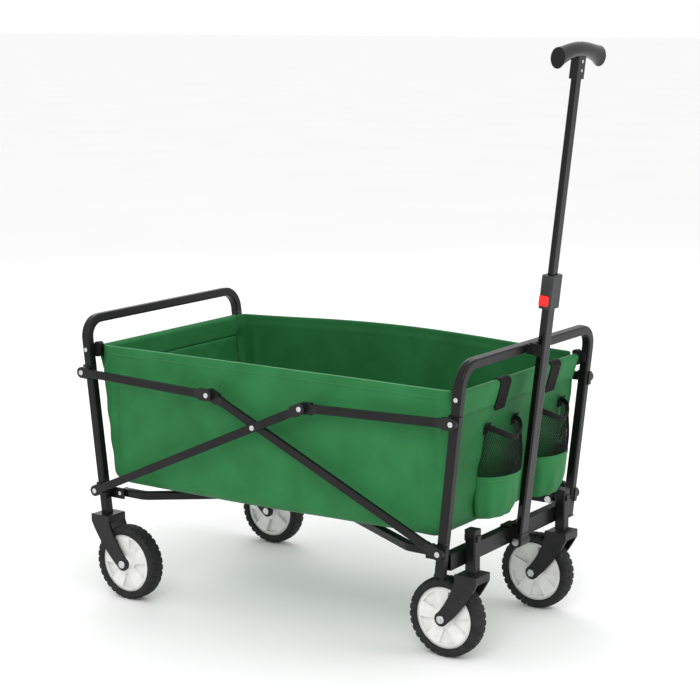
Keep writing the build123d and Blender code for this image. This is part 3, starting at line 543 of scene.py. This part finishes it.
def side_grid(side, seed, rise):
    """Points of one side cloth. u runs along the wagon and v from the foot to the top. Its
    section turns through a quarter ellipse from the floor's seam to the wall, and in plan it
    is straight with a quarter circle at each end."""
    u = np.linspace(0, 1, SIDE_ROWS)[:, None]
    v = np.linspace(0, 1, SIDE_COLUMNS)[None, :]
    quarter = np.clip(v / TURN_SHARE, 0, 1) * pi / 2
    wall = np.clip((v - TURN_SHARE) / (1 - TURN_SHARE), 0, 1)
    foot = foot_z((u - 0.5) * 2 * END_REACH)
    top = SIDE_TOP + rise * np.sin(pi * u) ** 1.5
    z = foot + TURN_UP * (1 - np.cos(quarter)) + (top - foot - TURN_UP) * wall
    tucked = TURN_IN * (1 - np.sin(quarter))
    turn_u = 0.03
    ends = np.clip((np.abs(u - 0.5) - (0.5 - turn_u)) / turn_u, 0, 1) * pi / 2
    inner = np.clip((u - turn_u) / (1 - 2 * turn_u), 0, 1) * 2 - 1
    x = (outline_x(z) - tucked - CORNER_R) * inner + np.sign(u - 0.5) * CORNER_R * np.sin(ends)
    out = 3.2 * MM * np.sin(pi * wall) * np.sin(pi * u) ** 0.5
    out = out + 2.0 * MM * soft_folds(x * 1.5, z * 1.8, seed) * (1 - 0.6 * wall)
    for at, lean, width, depth, low, high in (
        (0.355, -0.05, 0.010, 3.6, 0.23, 0.49), (0.330, 0.04, 0.012, -2.6, 0.24, 0.42),
        (0.378, -0.02, 0.008, -3.0, 0.26, 0.50), (-0.360, 0.06, 0.012, 2.6, 0.25, 0.46),
        (-0.335, 0.10, 0.016, -2.0, 0.24, 0.40), (-0.372, 0.00, 0.008, -2.2, 0.26, 0.50),
        (0.290, -0.30, 0.018, 1.8, 0.23, 0.40), (0.10, 0.55, 0.030, 1.6, 0.26, 0.46),
    ):
        out = out + depth * MM * crease(x, z, at, lean, width, low, high)
    out = out + rise * 0.9 * np.sin(pi * u) * wall**2
    hem = top - HEM_HEIGHT
    out = out + 0.7 * MM * smooth_step(z, hem - 1 * MM, hem)
    out = out - 0.9 * MM * bump(z, hem - 2 * MM, 2.2 * MM)
    out = out * np.cos(ends) * np.sin(quarter) ** 0.5
    y = side_y - tucked - CORNER_R * (1 - np.cos(ends)) + out
    points = np.stack(np.broadcast_arrays(fold_x + x, side * y, z), -1)
    return points if side < 0 else points[:, ::-1]


def stitches(name, path, material, length=3.0 * MM, gap=1.4 * MM, radius=0.32 * MM):
    """A row of sewn stitches on a path of points: each is a small six-sided spindle laid
    along the path. The path is walked by its own length."""
    path = np.asarray(path, float)
    walked = np.concatenate([[0], np.cumsum(np.linalg.norm(np.diff(path, axis=0), axis=1))])
    starts = np.arange(0, walked[-1] - length, length + gap)
    shares = np.array([0.0, 0.2, 0.8, 1.0])
    swell = np.array([0.15, 1.0, 1.0, 0.15])
    at = starts[:, None] + shares * length
    spine = np.stack([np.interp(at, walked, path[:, k]) for k in range(3)], -1)
    ahead = spine[:, -1] - spine[:, 0]
    ahead /= np.linalg.norm(ahead, axis=1, keepdims=True)
    lean = np.where(np.abs(ahead[:, 2:3]) > 0.9, [[1.0, 0, 0]], [[0, 0, 1.0]])
    left = np.cross(lean, ahead)
    left /= np.linalg.norm(left, axis=1, keepdims=True)
    up = np.cross(ahead, left)
    turn = np.linspace(0, tau, 6, endpoint=False)
    ring = left[:, None] * np.cos(turn)[:, None] + up[:, None] * np.sin(turn)[:, None]
    points = spine[:, :, None] + radius * swell[:, None, None] * ring[:, None]
    one = grid_faces(4, 6, wrap_columns=True)[:, ::-1]
    first = 24 * np.arange(len(starts))  # a spindle is four rings of six points
    walls = (first[:, None, None] + one).reshape(-1, 4)
    caps = (first[:, None, None] + np.stack([np.arange(6), 23 - np.arange(6)])).reshape(-1, 6)
    return new_piece(name, points.reshape(-1, 3), walls.tolist() + caps.tolist(), [material])


def at_height(points, height, wanted):
    """The point where each row of a grid reaches its wanted height, between two neighbours."""
    order = np.argsort(height, axis=1)
    height = np.take_along_axis(height, order, 1)
    points = np.take_along_axis(points, order[..., None], 1)
    row = np.arange(len(points))
    above = np.clip((height <= wanted[:, None]).sum(1), 1, height.shape[1] - 1)
    low, high = height[row, above - 1], height[row, above]
    share = np.clip((wanted - low) / (high - low), 0, 1)[:, None]
    return points[row, above - 1] * (1 - share) + points[row, above] * share


for word, side, seed, rise in (("right", -1, 3, 0.001), ("left", 1, 11, 0.012)):
    grid = side_grid(side, seed, rise)
    piece = cloth_shell(word + "_side_cloth", grid, CLOTH_THICK, [CLOTH, LINING])
    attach(piece, "rear_frame")
    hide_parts(word + "_side_panel")
    normal = grid_normals(grid)
    height = grid[..., 2]
    wanted = height.max(1) - HEM_HEIGHT + 2 * MM
    sewn = grid + normal * (CLOTH_THICK / 2 + 0.1 * MM)
    seam = at_height(sewn, height, wanted)[9:-9]
    row = stitches(word + "_side_stitches", seam, THREAD_AND_EDGE_HIGHLIGHT)
    # A thin pale green tube in the thread's colour along the cloth's top edge: a painted highlight for
    # the light caught along that edge.
    brim = grid[4:-4, 0 if side > 0 else -1] - np.array([0, 0, 0.2 * MM])
    edge = tube_along(word + "_side_edge_highlight", brim, 0.95 * MM, [THREAD_AND_EDGE_HIGHLIGHT], 6)
    for trim in (row, edge):
        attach(trim, "rear_frame")
    for soft in (piece, row, edge):
        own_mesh(soft)
    print(piece.name, len(piece.data.polygons), "faces;", row.name, len(row.data.polygons))

# %% [markdown]
# ## The end cloths and their hems
# Each end cloth hangs from a steel rod. Its top is folded over the rod and sewn to itself below,
# which makes a sleeve whose section is a drop: round over the rod, and closing to the seam. The
# panel under it is flat but for slack, and dimples at the seam.

# %% End cloth
SLEEVE_R = 7.4 * MM
END_ROWS, END_COLUMNS = 90, 60
HEM_POINTS = 60
end_half = panel_high.y


def end_grid(end, seed):
    """Points of an end cloth: y runs across and z up, at the posts' lean, with soft folds that
    fade at the seam, and small dimples along the seam."""
    across = np.linspace(-1, 1, END_ROWS)[:, None]
    v = np.linspace(0, 1, END_COLUMNS)[None, :]
    quarter = np.clip(v / TURN_SHARE, 0, 1) * pi / 2
    wall = np.clip((v - TURN_SHARE) / (1 - TURN_SHARE), 0, 1)
    foot = foot_z(end * END_REACH)
    z = foot + TURN_UP * (1 - np.cos(quarter)) + (SEAM_Z + 2 * MM - foot - TURN_UP) * wall
    tucked = TURN_IN * (1 - np.sin(quarter))
    y = across * (side_y - tucked - CORNER_R + 1.5 * MM)
    out = 3.0 * MM * np.sin(pi * wall) + 1.5 * MM * soft_folds(y * 2.2, z * 2.4, seed)
    out = out + 0.8 * MM * np.sin(y / (9 * MM)) * bump(z, SEAM_Z - 10 * MM, 10 * MM)
    out = out + 2.2 * MM * crease(y, z, 0.165, 0.25, 0.012, 0.24, 0.45)
    out = out - 2.0 * MM * crease(y, z, -0.150, -0.20, 0.014, 0.26, 0.44)
    out = out * (1 - across**8) * np.sin(quarter) ** 0.5 * (1 - smooth_step(wall, 0.93, 1.0))
    seam_gap = DRAWN_IN * smooth_step(z, DRAW_LOW, DRAW_HIGH)
    x = outline_x(z) + seam_gap - tucked - 1.4 * MM + out
    points = np.stack(np.broadcast_arrays(fold_x + end * x, y, z), -1)
    return points if end < 0 else points[:, ::-1]


def drop_section(spread, low_z, count=48):
    """Offsets (outwards, up) about the rod of a sleeve's section: an arc of radius spread over
    the top, and straight tangents down to the seam."""
    depth = rod_z - low_z
    tangent = np.arccos(spread / depth)
    sweep = np.linspace(-(pi - tangent), pi - tangent, count)
    x, z = spread * np.sin(sweep), spread * np.cos(sweep)
    down = np.linspace(0, 1, 12)[1:, None]
    foot = np.array([[0.0, -depth]])
    start, finish = np.array([x[0], z[0]]), np.array([x[-1], z[-1]])
    left = foot + (start - foot) * down
    right = finish + (foot - finish) * down
    return np.concatenate([left, np.stack([x, z], -1)[1:-1], right[:-1], foot + [[1e-4, 0]]])


def sleeve_grid(end, half_width, spread, low_z, middle=0.0, rows=70, pucker=0.5 * MM):
    """A hem sleeve: the drop section carried across the wagon about the rod, leaning with the
    posts below it, with small puckers."""
    section = drop_section(spread, low_z)
    y = np.linspace(-1, 1, rows)[:, None] * half_width + middle
    away, up = section[None, :, 0], section[None, :, 1]
    below = np.clip(-up / (rod_z - low_z), 0, 1)
    ripple = pucker * np.sin(y / (7.3 * MM)) * np.sin(pi * below) * np.sign(away + 1e-9)
    x = rod_x - fold_x + away + ripple + slope * np.minimum(up, 0)
    points = np.stack(np.broadcast_arrays(fold_x + end * x, y, rod_z + up), -1)
    return points if end > 0 else points[:, ::-1]


for word, end, seed in (("rear", -1, 5), ("front", 1, 23)):
    body = word + "_frame"
    panel = cloth_shell(word + "_end_cloth", end_grid(end, seed), CLOTH_THICK, [CLOTH, LINING])
    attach(panel, body)
    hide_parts(word + "_panel")
    sleeve = cloth_shell(
        word + "_hem_sleeve", sleeve_grid(end, end_half, SLEEVE_R, SEAM_Z), CLOTH_THICK, [CLOTH]
    )
    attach(sleeve, body)
    across = np.linspace(-1, 1, HEM_POINTS) * (end_half - 4 * MM)
    for number, height in enumerate((SEAM_Z + 2 * MM, SEAM_Z + 8 * MM)):
        outward = cloth_x(height) + 1.6 * MM + 0.12 * (height - SEAM_Z)
        line = np.stack(np.broadcast_arrays(fold_x + end * outward, across, height), -1)
        row = stitches(f"{word}_hem_stitches_{number + 1}", line, THREAD_AND_EDGE_HIGHLIGHT)
        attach(row, body)
    print(panel.name, "and", sleeve.name, "made")

# %% [markdown]
# ## The webbing straps
# Two loops of black webbing are sewn over the front hem. They follow its drop section, a
# little further out, with a stitched foot below the seam.

# %% Hem straps
STRAP_WIDTH = 38 * MM
STRAP_THICK = 1.5 * MM
strap_low, strap_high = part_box("hem_straps")
for number, middle in enumerate((strap_low.y + STRAP_WIDTH / 2, strap_high.y - STRAP_WIDTH / 2)):
    grid = sleeve_grid(
        1, STRAP_WIDTH / 2, SLEEVE_R + 1.8 * MM, strap_low.z + 4 * MM, middle, 14, 0.15 * MM
    )
    strap = cloth_shell(f"hem_strap_{number + 1}", grid, STRAP_THICK, [WEBBING])
    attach(strap, "front_frame")
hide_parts("hem_straps")
print("straps at y", [round(strap_low.y + STRAP_WIDTH / 2, 3), round(strap_high.y - STRAP_WIDTH / 2, 3)])

# %% [markdown]
# ## The floor
# The floor is one cloth over the bent arms, with a seam at the fold. Each half lies on its own
# pair of arms and swings up with them. It sags a little between the arms.

# %% Floor halves
for word, end in (("rear", -1), ("front", 1)):
    limit = outline_x(foot_z(end * END_REACH)) - TURN_IN - 0.5 * MM
    reach = np.linspace(0.4 * MM, limit, 80)[:, None]
    across = np.linspace(-1, 1, 80)[None, :]
    y = across * (side_y - TURN_IN - 0.5 * MM)
    rim = foot_z(end * reach)
    flat = FLOOR_Z - 0.4 * MM + 0.5 * MM * soft_folds(reach * 2, y * 2, 31 + end)
    edge = np.maximum(smooth_step(np.abs(across), 0.72, 1), smooth_step(reach / limit, 0.8, 1))
    z = flat + (rim - flat) * edge
    grid = np.stack(np.broadcast_arrays(fold_x + end * reach, y, z), -1)
    grid = grid if end > 0 else grid[:, ::-1]
    half = cloth_shell(word + "_floor_half", grid, CLOTH_THICK, [LINING, CLOTH])
    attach(half, word + "_floor_arms")
    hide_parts(word + "_floor_cloth")
print("floor halves laid")

# %% [markdown]
# ## The cup pockets
# Each pocket is a half-round bag on the front cloth: a green band round its foot, black net
# above, and a bound edge that sags between two webbing tabs. The net is real: two families of
# thin strands that cross, which lets the light and the cloth behind show through.

# %% Pocket shapes
POCKET_HALF = 60 * MM
pocket_low, pocket_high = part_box("cup_pockets")
POCKET_MIDDLES = (pocket_low.y + POCKET_HALF, pocket_high.y - POCKET_HALF)
POCKET_FOOT = 0.250
BAND_TOP = 0.331
EDGE_SAG, EDGE_TOP = 0.399, 0.422
NET_STRANDS, NET_LEAN, STRAND_RADIUS = 62, 1.2, 0.42 * MM


def pocket_point(middle, turn, z, grow=0.0):
    """A point of a pocket's wall: turn runs from -90 to 90 degrees round half an ellipse whose
    flat side is the end cloth. It is widest at the band, and narrows to its foot and edge."""
    rise = np.clip((z - POCKET_FOOT) / (EDGE_TOP - POCKET_FOOT), 0, 1)
    tuck = 12 * MM * bump(rise, -0.04, 0.12)
    width = 62 * MM - 11 * MM * smooth_step(rise, 0.55, 1.0) - tuck + grow
    depth = 43 * MM - 6 * MM * smooth_step(rise, 0.6, 1.0) - tuck + grow
    pucker = 1.0 * MM * np.sin(11 * turn + 18 * z) * (1 - smooth_step(rise, 0.15, 0.6))
    fold = -5 * MM * bump(turn, 0.25, 0.10) * smooth_step(rise, 0.45, 0.8)
    out = np.cos(turn) * (depth + fold) + pucker * np.cos(turn)
    x = fold_x + cloth_x(z) + 2.2 * MM + out
    y = middle + (width + pucker) * np.sin(turn)
    return np.stack(np.broadcast_arrays(x, y, z), -1)


def edge_z(turn):
    """Height of the pocket's bound edge: highest at the cloth, sagging at the front."""
    return EDGE_SAG + (EDGE_TOP - EDGE_SAG) * np.abs(np.sin(turn)) ** 1.6


def strands(middle, count, lean, radius):
    """One family of net strands: each climbs the wall from the band to the edge while it turns
    by lean. A strand is a square rod, worked out for all of them at once."""
    steps = 26
    start = np.linspace(-pi / 2 - abs(lean), pi / 2 + abs(lean), count)[:, None]
    climb = np.linspace(0, 1, steps)[None, :]
    turn = start + lean * climb
    inside = np.abs(turn) <= pi / 2
    turn = np.clip(turn, -pi / 2, pi / 2)
    z = BAND_TOP - 3 * MM + (edge_z(turn) - BAND_TOP + 3 * MM) * climb
    centre = pocket_point(middle, turn, z)
    out = np.stack([np.cos(turn), np.sin(turn), np.zeros_like(turn)], -1)
    side = np.cross(out, [0, 0, 1.0])
    corner = np.array([[1, 1], [-1, 1], [-1, -1], [1, -1]]) * radius
    ring = centre[:, :, None] + out[:, :, None] * corner[:, :1] + side[:, :, None] * corner[:, 1:]
    used = np.argwhere(inside[:, :-1] & inside[:, 1:])
    base = (used[:, 0] * steps + used[:, 1])[:, None] * 4 + np.arange(4)
    after = np.roll(base, -1, axis=1)
    faces = np.stack([base, after, after + 4, base + 4], -1).reshape(-1, 4)
    kept, faces = np.unique(faces, return_inverse=True)
    return ring.reshape(-1, 3)[kept], faces.reshape(-1, 4)


# %% Sew both pockets
pocket_pieces = []
for number, middle in enumerate(POCKET_MIDDLES, start=1):
    turn = np.linspace(-pi / 2, pi / 2, 60)[:, None]
    z = np.linspace(POCKET_FOOT, BAND_TOP, 26)[None, :]
    fold = 0.6 * MM * smooth_step(z, BAND_TOP - 10 * MM, BAND_TOP - 9 * MM)
    band = cloth_shell(
        f"pocket_band_{number}", pocket_point(middle, turn, z, fold), CLOTH_THICK, [CLOTH, LINING]
    )
    shrink = np.linspace(1, 0.02, 14)[None, :]
    edge = pocket_point(middle, turn, np.full_like(turn, POCKET_FOOT))[:, 0]
    centre = np.array([fold_x + cloth_x(POCKET_FOOT) + 2 * MM, middle, POCKET_FOOT])
    floor_points = centre + (edge[:, None] - centre) * shrink[..., None]
    floor_points[..., 2] -= 3 * MM * np.sin(pi * shrink) * (1 + 0.5 * np.sin(11 * turn))
    foot = cloth_shell(f"pocket_foot_{number}", floor_points, CLOTH_THICK, [CLOTH, LINING])
    left, left_faces = strands(middle, NET_STRANDS, NET_LEAN, STRAND_RADIUS)
    right, right_faces = strands(middle, NET_STRANDS, -NET_LEAN, STRAND_RADIUS)
    net = new_piece(
        f"pocket_net_{number}",
        np.concatenate([left, right]),
        np.concatenate([left_faces, right_faces + len(left)]),
        [WEBBING],
    )
    around = np.linspace(-pi / 2, pi / 2, 48)
    rim_path = pocket_point(middle, around, edge_z(around))
    binding = tube_along(f"pocket_binding_{number}", rim_path, 5.4 * MM, [WEBBING], 12, 0.3)
    seam_path = pocket_point(middle, around[1:-1], np.full(46, BAND_TOP - 7 * MM), 1.4 * MM)
    sewn = stitches(f"pocket_stitches_{number}", seam_path, THREAD_AND_EDGE_HIGHLIGHT)
    pocket_pieces += [band, foot, net, binding, sewn]
    for side in (-1, 1):
        edge_y = middle + side * 50 * MM
        y = np.linspace(edge_y - 8 * MM, edge_y + 8 * MM, 8)[:, None]
        z = np.linspace(EDGE_TOP - 14 * MM, EDGE_TOP + 8 * MM, 10)[None, :]
        lift = 3.0 * MM + 6.0 * MM * smooth_step(z, EDGE_TOP - 4 * MM, EDGE_TOP + 8 * MM)
        grid = np.stack(np.broadcast_arrays(fold_x + cloth_x(z) + lift, y, z), -1)[:, ::-1]
        word = "right" if side < 0 else "left"
        tab = cloth_shell(f"pocket_tab_{number}_{word}", grid, 1.6 * MM, [WEBBING])
        pocket_pieces.append(tab)
for piece in pocket_pieces:
    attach(piece, "front_frame")
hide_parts("cup_pockets")
print(len(pocket_pieces), "pocket pieces")

# %% [markdown]
# ## The tyres
# The CAD tyre is a plain ring. The real one has a smooth crown between two grooves and blocks
# round both shoulders, so a detailed tyre replaces it inside the same box.

# %% Tyre
BLOCKS = 32
STEPS_PER_BLOCK = 10


def tyre_points(middle, radius, half_width, bore):
    """A ring of sections. Across, the section follows a superellipse from one bead over the
    crown to the other. Round, each shoulder is cut by slots, and the crown has two grooves."""
    across = np.linspace(-1, 1, 41)[None, :]
    around = np.linspace(0, tau, BLOCKS * STEPS_PER_BLOCK, endpoint=False)[:, None]
    angle = across * pi / 2
    wide = np.sign(angle) * np.abs(np.sin(angle)) ** 0.75 * half_width
    tall = np.abs(np.cos(angle)) ** 0.22
    wall_r = bore + (radius - bore) * tall
    phase = (around * BLOCKS / tau + 0.5 * (across > 0)) % 1.0
    slot_depth = smooth_step(phase, 0.62, 0.72) * (1 - smooth_step(phase, 0.88, 0.98))
    shoulder = smooth_step(np.abs(wide) / half_width, 0.34, 0.42) * (
        1 - smooth_step(np.abs(wide) / half_width, 0.97, 1.0)
    )
    wall_r = wall_r - 2.6 * MM * slot_depth * shoulder
    wall_r = wall_r - 1.3 * MM * bump(np.abs(wide) / half_width, 0.36, 0.05)
    x = middle.x + wall_r * np.cos(around)
    z = middle.z + wall_r * np.sin(around)
    y = middle.y + wide
    return np.stack(np.broadcast_arrays(x, y, z), -1)


for word in ("right_rear", "left_rear", "right_front", "left_front"):
    low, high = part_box(word + "_tyre")
    rim_low, rim_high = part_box(word + "_rim")
    middle = (low + high) / 2
    bore = (rim_high.x - rim_low.x) / 2 - 0.2 * MM
    ring = tyre_points(middle, (high.x - low.x) / 2, (high.y - low.y) / 2, bore)
    rows, columns, _ = ring.shape
    start = columns * np.arange(rows)
    after = np.roll(start, -1)
    closing = np.stack([start + columns - 1, after + columns - 1, after, start], -1)
    faces = np.concatenate([grid_faces(rows, columns, wrap_rows=True), closing])
    tyre = new_piece(word + "_tread", ring.reshape(-1, 3), faces, [TYRE])
    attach(tyre, word + "_wheel")
    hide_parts(word + "_tyre")
print("tyres made, each of", rows * columns, "points")
